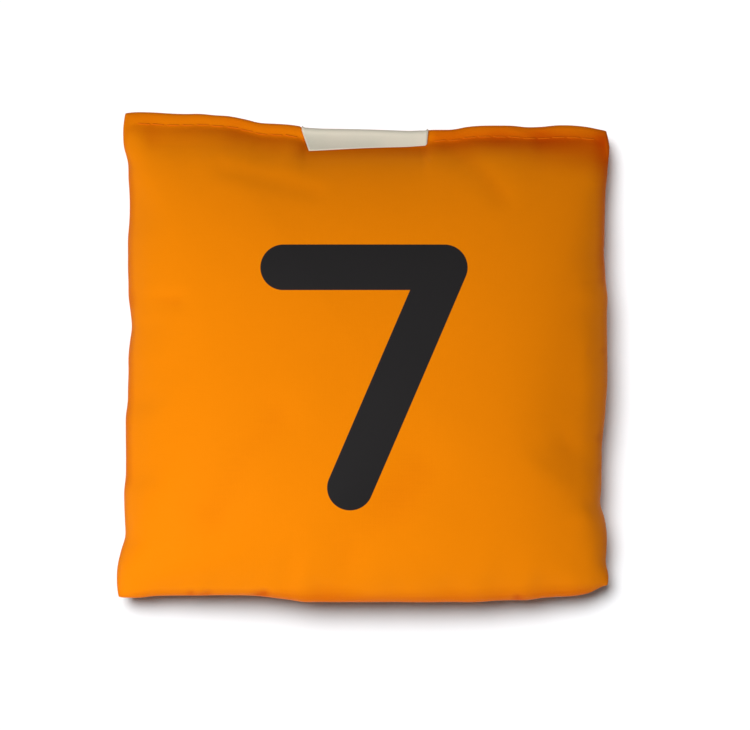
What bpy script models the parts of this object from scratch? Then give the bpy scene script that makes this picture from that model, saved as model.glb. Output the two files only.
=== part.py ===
"""A toss bean bag lying on its back, modelled as it is sewn.

Two panels of satin cloth are joined on three sides by a seam that is turned to
the inside. The fourth side is folded in once the bag is filled, and topstitched
through all four layers, with a tape label caught between the allowances.

Metres, +Z up. The bag rests on z = 0, its outline is centred on the origin, and
the closing seam is on the +Y side.
"""
import math

import bmesh
import bpy
from mathutils import Vector

# Filled bag, lying flat
BAG_WIDTH = 0.0990
BAG_HEIGHT = 0.0988
BAG_THICKNESS = 0.0240
SEAM_HEIGHT_MIDDLE = 0.0090
SEAM_HEIGHT_CORNER = 0.0050

# Cloth and the spaces between its layers
CLOTH = 0.00035
CLEARANCE = 0.0003
ALLOWANCE_WIDTH = 0.0060
FLANGE_WIDTH = 0.0034

# Stitching
STITCH_LENGTH = 0.0049
THREAD = 0.00022
THREAD_CLEARANCE = 0.00013
TURNED_STITCH_INSET = 0.0014
CLOSING_STITCH_INSET = 0.0025
THREAD_TAIL = 0.0004

# Tape label, caught a little askew
LABEL_WIDTH = 0.0254
LABEL_OFFSET = 0.0003
LABEL_THICKNESS = 0.0002
LABEL_CAUGHT = 0.0048
TAB_DROP_LEFT = 0.0044
TAB_DROP_RIGHT = 0.0020

# Corners of the outline, as shares of half the width and half the height
CORNER_SHARES = {
    "bottom_left": (-1.000, -0.980),
    "bottom_right": (0.992, -0.959),
    "top_right": (1.000, 0.922),
    "top_left": (-0.976, 0.996),
}

# How far each side is drawn in at equal steps, as shares of that side's length
DRAW_IN_SHARES = {
    "bottom": (0, 0.0030, 0.0005, -0.0100, -0.0133, -0.0165, -0.0160, -0.0090, 0),
    "right": (0, 0.0027, 0.0163, 0.0103, 0.0043, 0.0027, 0.0098, 0.0081, 0),
    "top": (0, -0.0057, -0.0010, 0.0108, 0.0124, 0.0139, 0.0093, -0.0026, 0),
    "left": (0, 0.0098, 0.0114, 0.0150, 0.0145, 0.0119, 0.0134, 0.0088, 0),
}
SIDE_CORNERS = {
    "bottom": ("bottom_left", "bottom_right"),
    "right": ("bottom_right", "top_right"),
    "top": ("top_right", "top_left"),
    "left": ("top_left", "bottom_left"),
}
CLOSING_SIDE = "top"
TURNED_SIDES = ("left", "bottom", "right")

# Roundness of the crown, and the flat part of the back
CROWN_POWER = 2.4
TURNED_SWELL_POWER = 0.55
CLOSING_SWELL_POWER = 0.80
CORNER_DIP_POWER = 2.5
REST_SHARE = 0.52
PATCH_DRAW_IN_SHARE = 0.03
PATCH_HOLLOW = 0.000008
HOLLOW_SHARE = 0.49

# Numbers of cells
FIELD_CELLS = 9
RIM_CELLS = 12
FOLD_STEPS = 3
TAB_CELLS = 4

# Sizes that follow
HALF = min(BAG_WIDTH, BAG_HEIGHT) / 2
FOLD_RADIUS = (CLOTH + CLEARANCE) / 2
FOLD_INSET = FOLD_RADIUS + CLOTH / 2
ALLOWANCE_LIFT = (LABEL_THICKNESS + CLOTH) / 2 + CLEARANCE
FACE_LIFT = ALLOWANCE_LIFT + 2 * FOLD_RADIUS
THREAD_REST = CLOTH / 2 + THREAD_CLEARANCE + THREAD / 2
THREAD_LEG = THREAD + THREAD_CLEARANCE
THREAD_LOOP = (THREAD + THREAD_CLEARANCE) / 2
HOLE = 2 * (THREAD_LEG + THREAD / 2 + 2 * THREAD_CLEARANCE)
FILL_INSET = ALLOWANCE_WIDTH + 2 * CLEARANCE
FIELD_REACH = 1 - FILL_INSET / HALF
FILL_DROP = CLOTH + 2 * CLEARANCE
NECK_OUT = CLEARANCE + LABEL_THICKNESS / 2
TAB_REST = THREAD_REST + THREAD / 2 + THREAD_CLEARANCE + LABEL_THICKNESS / 2
HINGE_LEVEL = FACE_LIFT + TAB_REST - NECK_OUT
LABEL_LENGTH = LABEL_CAUGHT + (TAB_DROP_LEFT + TAB_DROP_RIGHT) / 2

# Colours, roughness and metallic value of each piece
FINISHES = {
    "orange_satin": ((0.86, 0.36, 0.02, 1), 0.42, 0),
    "orange_thread": ((0.80, 0.30, 0.02, 1), 0.50, 0),
    "white_tape": ((0.80, 0.78, 0.70, 1), 0.55, 0),
    "pellets": ((0.82, 0.82, 0.80, 1), 0.40, 0),
}


def clear_scene():
    for item in list(bpy.data.objects):
        bpy.data.objects.remove(item, do_unlink=True)


def finish(name):
    """The material called name."""
    known = bpy.data.materials.get(name)
    if known:
        return known
    colour, roughness, metallic = FINISHES[name]
    material = bpy.data.materials.new(name)
    material.use_nodes = True
    shader = material.node_tree.nodes["Principled BSDF"]
    shader.inputs["Base Color"].default_value = colour
    shader.inputs["Roughness"].default_value = roughness
    shader.inputs["Metallic"].default_value = metallic
    return material


# Outline of the bag, side by side, anticlockwise from its lower left corner


def corner(name):
    across, up = CORNER_SHARES[name]
    return Vector((across * BAG_WIDTH / 2, up * BAG_HEIGHT / 2))


def side_length(side):
    start, end = SIDE_CORNERS[side]
    return (corner(end) - corner(start)).length


def draw_in(side, share):
    """Smooth reading of the side's table of shares."""
    table = DRAW_IN_SHARES[side]
    steps = len(table) - 1
    place = min(max(share, 0), 1) * steps
    left = min(int(place), steps - 1)
    part = place - left
    before = table[max(left - 1, 0)]
    after = table[min(left + 2, steps)]
    low, high = table[left], table[left + 1]
    slope_low = (high - before) / 2
    slope_high = (after - low) / 2
    square, cube = part**2, part**3
    return (
        low * (2 * cube - 3 * square + 1)
        + slope_low * (cube - 2 * square + part)
        + high * (3 * square - 2 * cube)
        + slope_high * (cube - square)
    )


def raw_outline(side, share, more_draw_in=0):
    start, end = (corner(name) for name in SIDE_CORNERS[side])
    along = end - start
    inward = Vector((-along.y, along.x))
    return start + along * share + inward * (draw_in(side, share) + more_draw_in)


def hump(share):
    """0 at both ends and 1 in the middle."""
    return 4 * share * (1 - share)


def patch_draw_in(share, reach_out):
    """Further draw-in round the patch that the bag rests on, none from the filling out."""
    return PATCH_DRAW_IN_SHARE * hump(share) * hump(min(1, reach_out / FIELD_REACH))


def outline_centre():
    """Middle of the box round the outline."""
    steps = RIM_CELLS * len(DRAW_IN_SHARES["top"])
    points = [raw_outline(s, i / steps) for s in SIDE_CORNERS for i in range(steps)]
    across = [p.x for p in points]
    up = [p.y for p in points]
    return Vector(((min(across) + max(across)) / 2, (min(up) + max(up)) / 2))


CENTRE = outline_centre()


# Every place on the bag is a point (u, v) of a square from -1 to 1, which the
# outline stretches. The layers of a seam share their (u, v), so they line up.


def place(u, v):
    reach_out = max(abs(u), abs(v))
    if reach_out == 0:
        return Vector((0, 0))
    a, b = u / reach_out, v / reach_out
    if b == -1:
        side, share = "bottom", (a + 1) / 2
    elif a == 1:
        side, share = "right", (b + 1) / 2
    elif b == 1:
        side, share = "top", (1 - a) / 2
    else:
        side, share = "left", (1 - b) / 2
    more = patch_draw_in(share, reach_out)
    return (raw_outline(side, share, more) - CENTRE) * reach_out


def seam_height(u, v):
    """Height of the seam's middle plane, lowest at the corners."""
    dip = abs(u * v) ** CORNER_DIP_POWER
    return SEAM_HEIGHT_MIDDLE + (SEAM_HEIGHT_CORNER - SEAM_HEIGHT_MIDDLE) * dip


def reach(inset):
    return 1 - inset / HALF


def within(u, v):
    """The place inside the flat edge bands, from 0 in the middle to 1 at a band."""
    band = FLANGE_WIDTH if v > 0 else FOLD_INSET
    return min(1, abs(u) / reach(FOLD_INSET)), min(1, abs(v) / reach(band))


def swell(u, v):
    return TURNED_SWELL_POWER, CLOSING_SWELL_POWER if v > 0 else TURNED_SWELL_POWER


def front_height(u, v):
    across, up = within(u, v)
    power_across, power_up = swell(u, v)
    rise = (1 - across**CROWN_POWER) ** power_across * (1 - up**CROWN_POWER) ** power_up
    edge = seam_height(u, v) + FACE_LIFT
    return edge + (BAG_THICKNESS - CLOTH / 2 - edge) * rise


def patch_hollow(u, v):
    """The trace by which the middle of the resting patch stays off what it lies on."""
    across, up = within(u, v)
    return PATCH_HOLLOW * max(0, 1 - (across**2 + up**2) / (2 * HOLLOW_SHARE**2))


def back_height(u, v):
    across, up = (max(0, w - REST_SHARE) / (1 - REST_SHARE) for w in within(u, v))
    power_across, power_up = swell(u, v)
    fall = (1 - across**2) ** power_across * (1 - up**2) ** power_up
    edge = seam_height(u, v) - FACE_LIFT
    return edge + (CLOTH / 2 + patch_hollow(u, v) - edge) * fall


# Rings: closed rows of points round the bag, each at its own inset


def ring_corners(turned_inset, closing_inset):
    out, top = reach(turned_inset), reach(closing_inset)
    return {
        "bottom_left": (-out, -out),
        "bottom_right": (out, -out),
        "top_right": (out, top),
        "top_left": (-out, top),
    }


def stitch_line(side):
    """Corners of the line that a side's stitches follow, short of the other seam."""
    if side == CLOSING_SIDE:
        return ring_corners(TURNED_STITCH_INSET + HOLE, CLOSING_STITCH_INSET)
    return ring_corners(TURNED_STITCH_INSET, FLANGE_WIDTH + 2 * HOLE)


def between(corners, side, share):
    start, end = (corners[name] for name in SIDE_CORNERS[side])
    return tuple(a + (b - a) * share for a, b in zip(start, end))


def stitch_count(side):
    return max(2, round(side_length(side) / STITCH_LENGTH))


def stitch_shares(side):
    count = stitch_count(side)
    return [(i + 0.5) / count for i in range(count)]


def plain_shares(cells):
    return [i / cells for i in range(cells + 1)]


def hole_shares(side):
    """Both ends of the side, and both edges of each needle hole between them."""
    half = HOLE / 2 / side_length(side)
    edges = [middle + end * half for middle in stitch_shares(side) for end in (-1, 1)]
    return [0, *edges, 1]


def hole_place(corners, side, share):
    """A point of a ring, lined up with the stitches along the side."""
    u, v = between(stitch_line(side), side, share)
    own_u, own_v = between(corners, side, share)
    return (u, own_v) if side in ("bottom", "top") else (own_u, v)


def ring(mesh, insets, height, cells=None, holed=()):
    """Vertices of each side of a ring, corner to corner, with their shares."""
    corners = ring_corners(*insets)
    posts = {name: mesh.verts.new((*place(*uv), height(*uv))) for name, uv in corners.items()}
    sides = {}
    for side, (start, end) in SIDE_CORNERS.items():
        pierced = side in holed
        shares = hole_shares(side) if pierced else plain_shares(cells)
        row = [posts[start]]
        for share in shares[1:-1]:
            uv = hole_place(corners, side, share) if pierced else between(corners, side, share)
            row.append(mesh.verts.new((*place(*uv), height(*uv))))
        row.append(posts[end])
        sides[side] = (shares, row)
    return sides


def join_rings(mesh, outer, inner, holed=()):
    """Faces between two rings, leaving out each needle hole of the holed sides."""
    for side in SIDE_CORNERS:
        shares_a, row_a = outer[side]
        shares_b, row_b = inner[side]
        a = b = 0
        while a < len(row_a) - 1 or b < len(row_b) - 1:
            next_a = shares_a[a + 1] if a < len(row_a) - 1 else math.inf
            next_b = shares_b[b + 1] if b < len(row_b) - 1 else math.inf
            if next_a == next_b:
                if side not in holed or a % 2 == 0:
                    mesh.faces.new((row_a[a], row_a[a + 1], row_b[b + 1], row_b[b]))
                a, b = a + 1, b + 1
            elif next_a < next_b:
                mesh.faces.new((row_a[a], row_a[a + 1], row_b[b]))
                a += 1
            else:
                mesh.faces.new((row_a[a], row_b[b + 1], row_b[b]))
                b += 1


def fill_ring(mesh, edge, insets, height):
    """The field inside a plain ring, as a grid of the same number of cells."""
    corners = ring_corners(*insets)
    low_u, low_v = corners["bottom_left"]
    high_u, high_v = corners["top_right"]
    cells = FIELD_CELLS
    grid = {}
    for i in range(cells + 1):
        grid[i, 0] = edge["bottom"][1][i]
        grid[cells, i] = edge["right"][1][i]
        grid[cells - i, cells] = edge["top"][1][i]
        grid[0, cells - i] = edge["left"][1][i]
    for i in range(1, cells):
        for j in range(1, cells):
            u = low_u + (high_u - low_u) * i / cells
            v = low_v + (high_v - low_v) * j / cells
            grid[i, j] = mesh.verts.new((*place(u, v), height(u, v)))
    for i in range(cells):
        for j in range(cells):
            mesh.faces.new((grid[i, j], grid[i + 1, j], grid[i + 1, j + 1], grid[i, j + 1]))


def add_object(name, mesh, material, origin=None):
    """An object of the mesh, with its own origin where one is given."""
    bmesh.ops.recalc_face_normals(mesh, faces=mesh.faces)
    if origin is not None:
        bmesh.ops.translate(mesh, verts=mesh.verts, vec=-origin)
    data = bpy.data.meshes.new(name)
    mesh.to_mesh(data)
    mesh.free()
    data.materials.append(finish(material))
    data.shade_smooth()
    item = bpy.data.objects.new(name, data)
    if origin is not None:
        item.location = origin
    bpy.context.collection.objects.link(item)
    return item


def thicken(item, thickness):
    shell = item.modifiers.new("thickness", "SOLIDIFY")
    shell.thickness = thickness
    shell.offset = 0
    shell.use_rim = True


# Panels


def level(lift):
    return lambda u, v: seam_height(u, v) + lift


def add_panel(name, face_height, side_up):
    """One panel: its face, the fold at the seam, and the allowance turned inside."""
    mesh = bmesh.new()
    inner = (TURNED_STITCH_INSET + HOLE / 2, CLOSING_STITCH_INSET + HOLE / 2)
    outer = (TURNED_STITCH_INSET - HOLE / 2, CLOSING_STITCH_INSET - HOLE / 2)
    closing = (CLOSING_SIDE,)
    every = tuple(SIDE_CORNERS)

    field = (FILL_INSET, FILL_INSET)
    shoulder = tuple((near + far) / 2 for near, far in zip(inner, field))
    rows = [
        ring(mesh, field, face_height, FIELD_CELLS),
        ring(mesh, shoulder, face_height, FIELD_CELLS),
        ring(mesh, inner, face_height, RIM_CELLS, closing),
        ring(mesh, outer, face_height, RIM_CELLS, closing),
    ]
    fill_ring(mesh, rows[0], field, face_height)
    for step in range(FOLD_STEPS + 1):
        turn = math.pi * step / FOLD_STEPS
        inset = FOLD_INSET - FOLD_RADIUS * math.sin(turn)
        lift = ALLOWANCE_LIFT + FOLD_RADIUS * (1 + math.cos(turn))
        rows.append(ring(mesh, (inset, inset), level(side_up * lift), RIM_CELLS))
    flat = level(side_up * ALLOWANCE_LIFT)
    rows.append(ring(mesh, outer, flat, holed=every))
    rows.append(ring(mesh, inner, flat, holed=every))
    rows.append(ring(mesh, (ALLOWANCE_WIDTH, ALLOWANCE_WIDTH), flat, FIELD_CELLS))

    pierced = {2: closing, len(rows) - 3: every}
    for i in range(len(rows) - 1):
        join_rings(mesh, rows[i], rows[i + 1], pierced.get(i, ()))
    item = add_object(name, mesh, "orange_satin")
    thicken(item, CLOTH)
    return item


# Filling


def add_filling():
    """The heap of pellets, clear of the cloth and of the allowances."""
    mesh = bmesh.new()
    insets = (FILL_INSET, FILL_INSET)
    heights = (
        lambda u, v: front_height(u, v) - FILL_DROP,
        lambda u, v: back_height(u, v) + FILL_DROP,
    )
    edges = []
    for height in heights:
        edge = ring(mesh, insets, height, FIELD_CELLS)
        fill_ring(mesh, edge, insets, height)
        edges.append(edge)
    join_rings(mesh, *edges)
    return add_object("filling", mesh, "pellets")


# Threads


def seam_point(uv):
    return Vector((*place(*uv), seam_height(*uv)))


def seam_stitches(sides):
    """Middle of each stitch's hole along the sides, with the hole's two directions."""
    stitches = []
    for side in sides:
        line = stitch_line(side)
        half = HOLE / 2 / side_length(side)
        step = HOLE / 2 / HALF
        in_u, in_v = {"bottom": (0, 1), "right": (-1, 0), "top": (0, -1), "left": (1, 0)}[side]
        for share in stitch_shares(side):
            u, v = between(line, side, share)
            before, after = (between(line, side, share + end * half) for end in (-1, 1))
            along = (seam_point(after) - seam_point(before)).normalized()
            inner = place(u + in_u * step, v + in_v * step)
            across = (inner - place(u, v)).normalized().to_3d()
            stitches.append((seam_point((u, v)), along, across))
    return stitches


def thread_route(stitches, run_lift, side_up):
    """A needle thread above the seam, or with side_up -1 the bobbin thread below.

    At each hole it dips in, passes through the other thread's loop and comes back.
    The two loops stand square to each other, so they link and do not touch.
    """
    route = []
    for point, along, across in stitches:
        leg = (along if side_up > 0 else across) * THREAD_LEG
        high = Vector((0, 0, side_up * run_lift))
        low = Vector((0, 0, -side_up * THREAD_LOOP / 2))
        deep = Vector((0, 0, -side_up * THREAD_LOOP))
        route += [point - leg + high, point - leg + low, point + deep]
        route += [point + leg + low, point + leg + high]
    first, last = stitches[0][1], stitches[-1][1]
    return [route[0] - first * THREAD_TAIL, *route, route[-1] + last * THREAD_TAIL]


def add_thread(name, route):
    data = bpy.data.curves.new(name, "CURVE")
    data.dimensions = "3D"
    data.bevel_depth = THREAD / 2
    data.bevel_resolution = 0
    data.use_fill_caps = True
    spline = data.splines.new("POLY")
    spline.points.add(len(route) - 1)
    for knot, point in zip(spline.points, route):
        knot.co = (*point, 1)
    data.materials.append(finish("orange_thread"))
    item = bpy.data.objects.new(name, data)
    bpy.context.collection.objects.link(item)
    return item


def add_threads():
    seams = {
        "turned": (TURNED_SIDES, ALLOWANCE_LIFT + THREAD_REST),
        "closing": ((CLOSING_SIDE,), FACE_LIFT + THREAD_REST),
    }
    for seam, (sides, run_lift) in seams.items():
        stitches = seam_stitches(sides)
        add_thread(f"{seam}_seam_needle_thread", thread_route(stitches, run_lift, 1))
        add_thread(f"{seam}_seam_bobbin_thread", thread_route(stitches, run_lift, -1))


# Label


def label_ends():
    """Shares of the closing side at the label's right and left ends."""
    right, left = (corner(name).x - CENTRE.x for name in SIDE_CORNERS[CLOSING_SIDE])
    middle, half_span = (right + left) / 2, (right - left) / 2
    line_end = stitch_line(CLOSING_SIDE)["top_right"][0]
    edges = (LABEL_OFFSET + end * LABEL_WIDTH / 2 for end in (1, -1))
    return tuple((1 - (edge - middle) / half_span / line_end) / 2 for edge in edges)


def label_holes():
    """Both edges of each needle hole in the label. One at its end is a notch."""
    start, end = label_ends()
    half = HOLE / 2 / side_length(CLOSING_SIDE)
    holes = []
    for middle in stitch_shares(CLOSING_SIDE):
        low, high = middle - half, middle + half
        if high > start and low < end:
            low = start if low - start < half else low
            high = end if end - high < half else high
            holes.append((low, high))
    return holes


def tab_drop(share):
    start, end = label_ends()
    part = (share - start) / (end - start)
    return TAB_DROP_RIGHT + (TAB_DROP_LEFT - TAB_DROP_RIGHT) * part


def label_vertex(mesh, share, inset, height):
    along = between(stitch_line(CLOSING_SIDE), CLOSING_SIDE, share)[0]
    uv = (along, reach(inset))
    return mesh.verts.new((*place(*uv), height(*uv)))


def add_caught_end():
    """The tape between the allowances, and its neck up the front of the edge."""
    mesh = bmesh.new()
    hole_in = CLOSING_STITCH_INSET + HOLE / 2
    hole_out = CLOSING_STITCH_INSET - HOLE / 2
    holes = label_holes()
    columns = sorted({*label_ends(), *(edge for hole in holes for edge in hole)})
    rows = []
    for share in columns:
        caught = LABEL_LENGTH - tab_drop(share)
        profile = [(caught, 0), (hole_in, 0), (hole_out, 0)]
        profile += [(FOLD_INSET - FOLD_RADIUS, 0), (-NECK_OUT, NECK_OUT), (-NECK_OUT, HINGE_LEVEL)]
        rows.append([label_vertex(mesh, share, inset, level(lift)) for inset, lift in profile])
    for i, (here, there) in enumerate(zip(rows, rows[1:])):
        pierced = (columns[i], columns[i + 1]) in holes
        for j in range(len(here) - 1):
            if not (pierced and j == 1):
                mesh.faces.new((here[j], there[j], there[j + 1], here[j + 1]))
    item = add_object("label_caught_end", mesh, "white_tape")
    thicken(item, LABEL_THICKNESS)
    return item


def hinge_line():
    """Right and left ends of the line that the tab turns about."""
    ends = []
    for share in label_ends():
        along = between(stitch_line(CLOSING_SIDE), CLOSING_SIDE, share)[0]
        uv = (along, reach(-NECK_OUT))
        ends.append(Vector((*place(*uv), seam_height(*uv) + HINGE_LEVEL)))
    return ends


def tab_height(u, v):
    return front_height(u, v) + TAB_REST


def add_tab():
    """The loose end of the tape, lying on the flange over the stitches."""
    mesh = bmesh.new()
    start, end = label_ends()
    rows = []
    for column in plain_shares(TAB_CELLS):
        share = start + (end - start) * column
        length = tab_drop(share) + NECK_OUT
        insets = [length * part - NECK_OUT for part in plain_shares(TAB_CELLS)]
        rows.append([label_vertex(mesh, share, inset, tab_height) for inset in insets])
    for here, there in zip(rows, rows[1:]):
        for j in range(len(here) - 1):
            mesh.faces.new((here[j], there[j], there[j + 1], here[j + 1]))
    right, left = hinge_line()
    item = add_object("label_tab", mesh, "white_tape", (right + left) / 2)
    thicken(item, LABEL_THICKNESS)
    return item


def main():
    clear_scene()
    add_panel("front_panel", front_height, 1)
    add_panel("back_panel", back_height, -1)
    add_filling()
    add_threads()
    add_caught_end()
    add_tab()
    right, left = hinge_line()
    print("hinge middle", [round(c, 6) for c in (right + left) / 2])
    print("hinge direction, right to left", [round(c, 6) for c in (left - right).normalized()])
    print("stitches", {side: stitch_count(side) for side in SIDE_CORNERS})


main()
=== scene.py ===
# %% [markdown]
# A toss bean bag is two squares of satin cloth, sewn together round loose pellets.
# This first cell loads the packed model, which stays fixed. Everything else is
# built around it, in metres, with +Z up.

# %% Load the fixed frame
import math
from functools import partialmethod

import bpy
import numpy as np
from mathutils import Matrix, Vector


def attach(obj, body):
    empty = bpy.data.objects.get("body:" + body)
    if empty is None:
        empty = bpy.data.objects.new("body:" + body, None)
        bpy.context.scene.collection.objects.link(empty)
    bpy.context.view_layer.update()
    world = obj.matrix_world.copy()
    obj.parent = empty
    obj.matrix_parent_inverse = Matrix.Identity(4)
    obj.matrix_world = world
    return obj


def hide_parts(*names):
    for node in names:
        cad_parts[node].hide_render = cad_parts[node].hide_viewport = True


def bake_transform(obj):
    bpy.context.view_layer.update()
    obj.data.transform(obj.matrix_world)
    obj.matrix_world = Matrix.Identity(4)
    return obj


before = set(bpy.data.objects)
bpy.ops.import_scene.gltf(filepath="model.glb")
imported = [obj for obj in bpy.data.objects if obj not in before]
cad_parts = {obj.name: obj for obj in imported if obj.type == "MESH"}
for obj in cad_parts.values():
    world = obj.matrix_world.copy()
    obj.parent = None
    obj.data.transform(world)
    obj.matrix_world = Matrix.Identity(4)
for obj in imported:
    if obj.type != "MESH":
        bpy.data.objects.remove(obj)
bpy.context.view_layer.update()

MM = 0.001
print("nodes", sorted(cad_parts))

# %% [markdown]
# Every dimension of the bag is named here once, the same as in its drawing. The
# folded edges are a little fuller than the drawing's, because real cloth leaves
# no space between its layers.

# %% Sizes of the bag
WIDTH, HEIGHT, THICKNESS = 99.0 * MM, 98.8 * MM, 24.0 * MM
SEAM_MIDDLE, SEAM_CORNER = 9.0 * MM, 5.0 * MM
CLOTH = 0.35 * MM
FACE_LIFT = 1.225 * MM
ALLOWANCE_LIFT = 0.295 * MM
FOLD_RADIUS = (FACE_LIFT - ALLOWANCE_LIFT) / 2
FOLD_INSET = FOLD_RADIUS + CLOTH / 2
FLANGE = 3.4 * MM
ALLOWANCE = 6.0 * MM
HALF = min(WIDTH, HEIGHT) / 2
TINY = 1e-9
SIDE_STEPS = 108

# shares of half the width and height: bottom left and right, top right and left
CORNERS = ((-1, -0.980), (0.992, -0.959), (1, 0.922), (-0.976, 0.996))
# how far each side is drawn in, in shares of its length, from corner to corner
DRAW_IN = {
    "bottom": (0, 0.0030, 0.0005, -0.0100, -0.0133, -0.0165, -0.0160, -0.0090, 0),
    "right": (0, 0.0027, 0.0163, 0.0103, 0.0043, 0.0027, 0.0098, 0.0081, 0),
    "top": (0, -0.0057, -0.0010, 0.0108, 0.0124, 0.0139, 0.0093, -0.0026, 0),
    "left": (0, 0.0098, 0.0114, 0.0150, 0.0145, 0.0119, 0.0134, 0.0088, 0),
}
print("bag", *(round(size / MM, 1) for size in (WIDTH, HEIGHT, THICKNESS)), "mm")

# %% [markdown]
# Every point of the cloth has an address (u, v) on a square from -1 to 1. These
# helpers turn an address into a place. They work on whole arrays at once, which
# keeps a fine mesh quick to make.


# %% From an address on the square to a place
def outness(u, v):
    """0 in the middle of the square, 1 on its edges."""
    return np.maximum(abs(u), abs(v))


def smoothstep(part):
    """From 0 to 1 as its part does, with both ends flat."""
    part = np.clip(part, 0, 1)
    return part * part * (3 - 2 * part)


def cubic_weights(part):
    """The weights of a row's four nearest values, at a part of the middle step."""
    return np.stack(
        [
            -0.5 * part + part**2 - 0.5 * part**3,
            1 - 2.5 * part**2 + 1.5 * part**3,
            0.5 * part + 2 * part**2 - 1.5 * part**3,
            -0.5 * part**2 + 0.5 * part**3,
        ]
    )


def smooth_read(table, share):
    """A table of values at equal steps, read smoothly at any share from 0 to 1."""
    last = len(table) - 1
    at = np.clip(share, 0, 1) * last
    left = np.minimum(at.astype(int), last - 1)
    near = np.clip(left + np.arange(-1, 3)[:, None], 0, last)
    return (cubic_weights(at - left) * np.asarray(table)[near]).sum(0)


def side_points(side, share):
    corners = np.array(CORNERS) * (WIDTH / 2, HEIGHT / 2)
    number = list(DRAW_IN).index(side)
    start, end = corners[number], corners[(number + 1) % 4]
    along = end - start
    inward = np.array((-along[1], along[0]))
    return start + along * share[:, None] + inward * smooth_read(DRAW_IN[side], share)[:, None]


EVEN = np.linspace(0, 1, SIDE_STEPS + 1)[:-1]
ROUND = np.vstack([side_points(side, EVEN) for side in DRAW_IN])
CENTRE = (ROUND.min(0) + ROUND.max(0)) / 2


def plain_place(u, v):
    """Places in the plane, as rows of x and y, with smooth sides and sharp corners."""
    out = outness(u, v)
    safe = np.where(out == 0, 1, out)
    a, b = u / safe, v / safe
    points = side_points("left", (1 - b) / 2)
    others = {
        "top": (b >= 1 - TINY, (1 - a) / 2),
        "right": (a >= 1 - TINY, (b + 1) / 2),
        "bottom": (b <= TINY - 1, (a + 1) / 2),
    }
    for side, (mask, share) in others.items():
        points[mask] = side_points(side, share[mask])
    return (points - CENTRE) * out[:, None]


def reach(inset):
    return 1 - inset / HALF


# %% [markdown]
# Sewn edges are never quite smooth. Between the points of those tables each side
# still strays by up to 0.8 mm, every corner is a little round, and the
# label's tape draws the closing seam in. These small moves fade away inwards.

# %% Small strays of the outline
STRAYS = {
    # hundredths of a millimetre, every 3 mm from -48 to 48
    "top": "39 36 21 0 0 30 44 66 45 0 4 4 -20 -30 -30 -30 -30 "
    "-30 -30 -30 -20 -28 -40 -7 0 -4 -11 -37 -21 26 54 60 43",
    "bottom": "-56 -60 -36 -32 -31 -29 -18 -11 0 8 0 -10 -40 -32 -32 -28 -26 "
    "-20 -10 -10 -11 -8 -7 -18 -20 -11 -25 -48 -32 -36 -53 -26 79",
    "left": "-40 -66 -76 -40 0 -5 -20 -25 3 5 4 3 5 38 33 29 15 "
    "33 63 36 0 0 -5 0 4 28 32 18 -9 -21 -61 -52 -26",
    "right": "60 61 15 16 22 7 -13 21 31 25 8 14 30 35 42 33 18 "
    "3 -9 -11 7 -6 -4 -4 14 20 25 27 44 48 48 0 32",
}
STRAYS = {side: np.array(row.split(), float) * 0.01 * MM for side, row in STRAYS.items()}
STRAY_SPAN = 96 * MM
FADE_REACH, FADE_LENGTH = 14 * MM, 10 * MM
CORNER_ROUNDING, CORNER_POWER = 0.007, 40
TAPE_ZONE = (-12.9 * MM, 13.4 * MM)
TAPE_PULL = 0.55 * MM


def fade_inwards(share):
    """1 in the outer 4 mm of one side, fading to 0 at 14 mm from it."""
    return smoothstep((share * HALF - HALF + FADE_REACH) / FADE_LENGTH)


def tape_pull(x):
    ends = np.clip((x - TAPE_ZONE[0]) / MM, 0, 1) * np.clip((TAPE_ZONE[1] - x) / MM, 0, 1)
    return TAPE_PULL * smoothstep(ends)


def place(u, v):
    """Places in the plane, as rows of x and y."""
    points = plain_place(u, v) * (1 - CORNER_ROUNDING * abs(u * v) ** CORNER_POWER)[:, None]
    x, y = points.T / STRAY_SPAN + 0.5
    top = smooth_read(STRAYS["top"], x) - tape_pull(points[:, 0])
    points[:, 1] += top * fade_inwards(v)
    points[:, 1] += smooth_read(STRAYS["bottom"], x) * fade_inwards(-v)
    points[:, 0] += smooth_read(STRAYS["right"], y) * fade_inwards(u)
    points[:, 0] += smooth_read(STRAYS["left"], y) * fade_inwards(-u)
    return points


print("largest stray", max(abs(row).max() for row in STRAYS.values()) / MM, "mm")

# %% [markdown]
# The seam dips towards the corners. From it the filling lifts the front to a crown
# and presses the back to a flat patch. The cloth climbs steeply from the turned
# seams, and more gently from the flat flange.

# %% Heights
SEAM_POWER = 2.5
SIDE_POWER, FLANGE_POWER = 0.55, 0.80
FRONT_FLAT_SHARE, FRONT_POWER = 0, 2.4
BACK_FLAT_SHARE, BACK_POWER = 0.52, 2
CREASE_SOFTNESS = 0.32 * MM


def seam_height(u, v):
    return SEAM_MIDDLE + (SEAM_CORNER - SEAM_MIDDLE) * abs(u * v) ** SEAM_POWER


def rise(u, v, flat_share, power):
    """How far the filling lifts the cloth, from 0 at the edges to 1."""
    past_flange = (reach(FLANGE) - v) * HALF / CREASE_SOFTNESS
    eased_up = 1 - np.logaddexp(0, past_flange) * CREASE_SOFTNESS / HALF / reach(FLANGE)
    across = np.maximum(0, np.minimum(1, abs(u) / reach(FOLD_INSET)) - flat_share)
    up = np.where(v > 0, eased_up, abs(v) / reach(FOLD_INSET))
    up = np.maximum(0, np.minimum(1, up) - flat_share)
    across, up = across / (1 - flat_share), up / (1 - flat_share)
    up_power = np.where(v > 0, FLANGE_POWER, SIDE_POWER)
    return (1 - across**power) ** SIDE_POWER * (1 - up**power) ** up_power


def front_rise(u, v):
    return rise(u, v, FRONT_FLAT_SHARE, FRONT_POWER)


def back_rise(u, v):
    return rise(u, v, BACK_FLAT_SHARE, BACK_POWER)


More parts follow.
